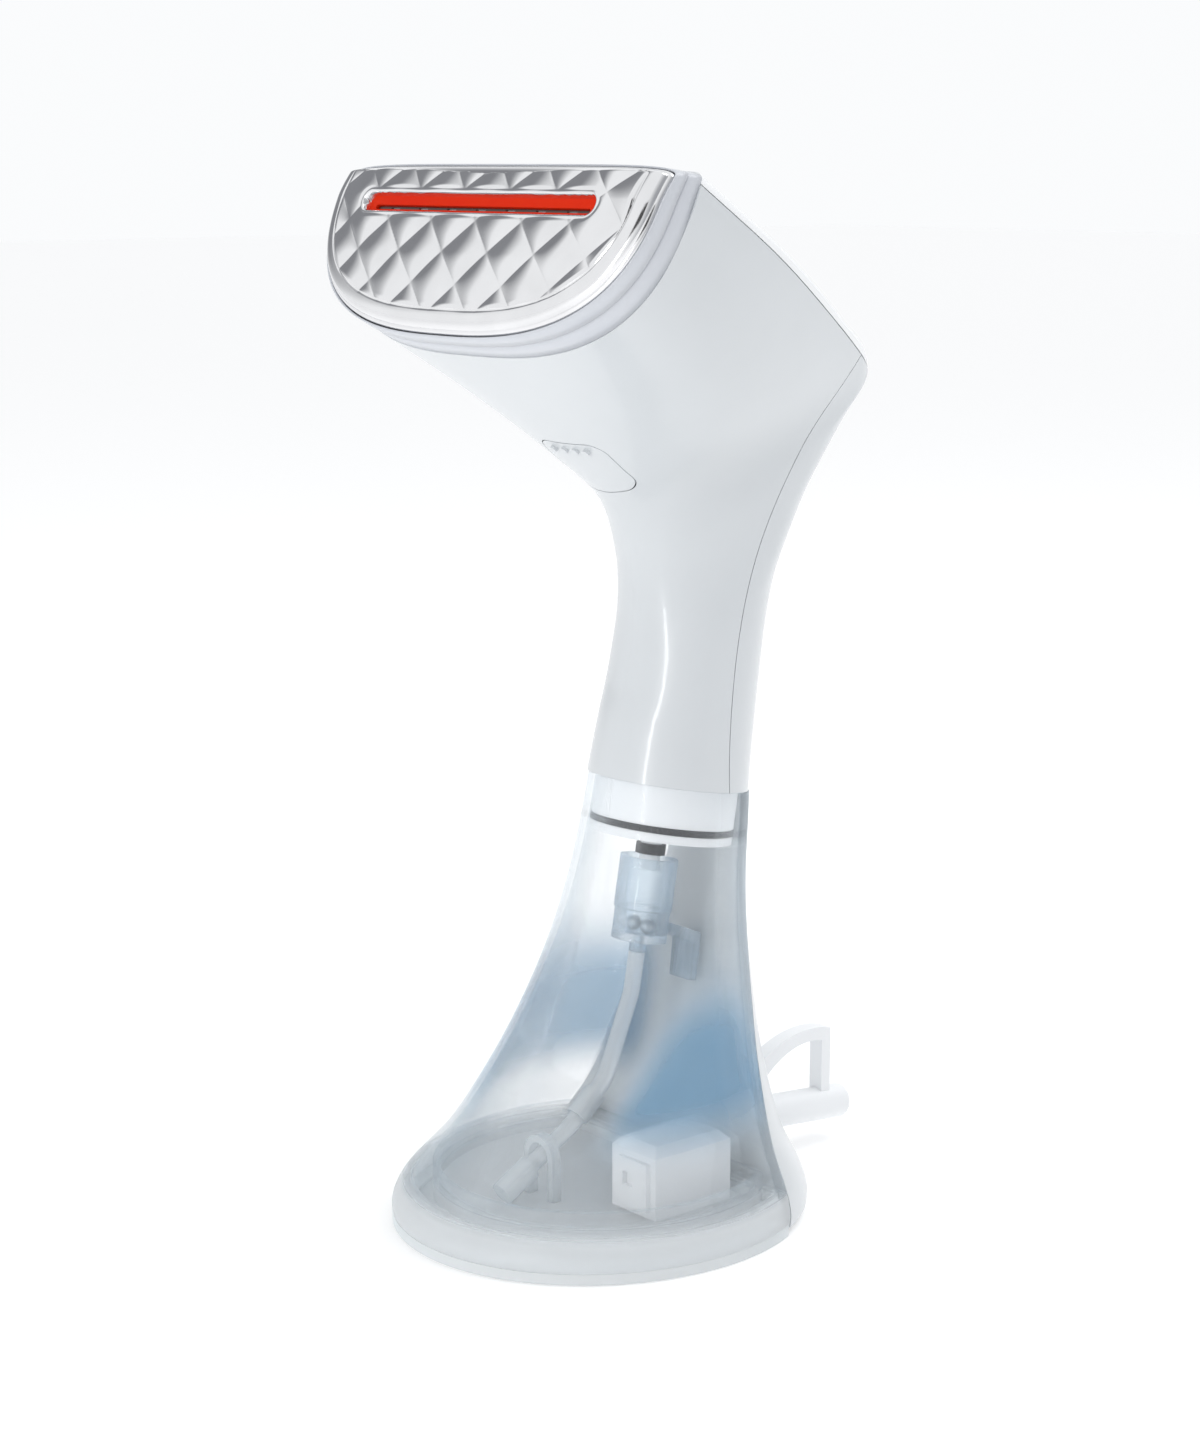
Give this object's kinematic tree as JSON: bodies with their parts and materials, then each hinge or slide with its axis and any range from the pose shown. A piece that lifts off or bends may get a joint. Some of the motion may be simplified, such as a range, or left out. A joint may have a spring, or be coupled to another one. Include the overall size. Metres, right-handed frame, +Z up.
{
  "type": "hand-held garment steamer",
  "caption": "Upright hand-held garment steamer with a quilted steam plate, a trigger and a clear lift-off bell tank.",
  "frame": {"origin": "centre of the flat underside of the base, on the surface it stands on", "axes": "+Z up, steam plate faces -Y, cord gland points +Y, mirror plane X = 0"},
  "size_m": [0.138, 0.1589, 0.2959],
  "materials": {
    "body_white": "smooth satin",
    "cover_white": "gloss",
    "bezel_white": "satin",
    "quilted_metal": "polished, quilted",
    "seal_red": "silicone, satin",
    "gasket_black": "matte",
    "strip_dark": "brushed",
    "clear_tank": "clear, blue tint",
    "frosted_rim": "frosted",
    "clear_blue": "clear",
    "tube_clear": "milky clear",
    "inner_white": "moulded",
    "cast_aluminium": "die cast",
    "steel": "turned",
    "copper_wire": "wound",
    "silicone_hose": "satin",
    "dark_plastic": "moulded"
  },
  "bodies": {
    "tank": {"tank_shell": "clear_tank", "base_ring": "frosted_rim", "base_plate": "frosted_rim", "tank_floor": "clear_tank", "filter_box": "inner_white", "filter_latch": "inner_white", "tube_clip": "tube_clear", "suction_tube": "tube_clear", "tube_sleeve": "tube_clear", "tube_weight": "tube_clear", "inlet_valve": "clear_blue", "valve_bracket": "clear_blue", "riser_tube": "clear_blue"},
    "handle": {"front_housing": "body_white", "top_cover": "cover_white", "rear_cover": "body_white", "plate_bezel": "bezel_white", "steam_plate": "quilted_metal", "plate_gasket": "gasket_black", "slot_seal": "seal_red", "slit_strip": "strip_dark", "boiler_block": "cast_aluminium", "boiler_lid": "cast_aluminium", "boiler_screws": "steel", "heating_element": "steel", "thermostat": "steel", "thermal_fuse": "steel", "heat_shield": "steel", "pump_yoke": "steel", "pump_coil": "copper_wire", "pump_tube": "inner_white", "pump_grommets": "gasket_black", "inlet_hose": "silicone_hose", "outlet_hose": "silicone_hose", "terminal_block": "inner_white", "neck_spigot": "inner_white", "suction_nipple": "inner_white", "neck_seal": "gasket_black", "nipple_seal": "gasket_black", "rear_spine": "body_white", "spine_plate": "body_white", "cord_gland": "inner_white", "hanging_loop": "inner_white", "mains_wires": "dark_plastic", "switch_bracket": "inner_white", "microswitch": "dark_plastic", "trigger_spring": "steel"},
    "trigger": {"trigger": "body_white"},
    "switch_plunger": {"switch_plunger": "inner_white"},
    "pump_piston": {"pump_piston": "steel"},
    "valve_balls": {"valve_balls": "steel"}
  },
  "joints": [
    {"name": "handle_lift", "type": "slide", "parent": "tank", "child": "handle", "axis": [0, 0.1702, 0.9854], "range_m": [0, 0.09]},
    {"name": "trigger_press", "type": "slide", "parent": "handle", "child": "trigger", "axis": [0, 0.7071, 0.7071], "range_m": [0, 0.002], "stiffness_N_per_m": 400, "springref_m": -0.002, "deforming": ["trigger_spring"]},
    {"name": "plunger_press", "type": "slide", "parent": "handle", "child": "switch_plunger", "axis": [0, 0.7071, 0.7071], "range_m": [0, 0.002]},
    {"name": "piston_stroke", "type": "slide", "parent": "handle", "child": "pump_piston", "axis": [0, 0.1702, 0.9854], "range_m": [0, 0.003], "stiffness_N_per_m": 300, "springref_m": -0.001},
    {"name": "valve_lift", "type": "slide", "parent": "tank", "child": "valve_balls", "axis": [0, 0.1702, 0.9854], "range_m": [0, 0.0015]}
  ],
  "couplings": [
    {"joint": "plunger_press", "follows": "trigger_press", "ratio": 1}
  ]
}
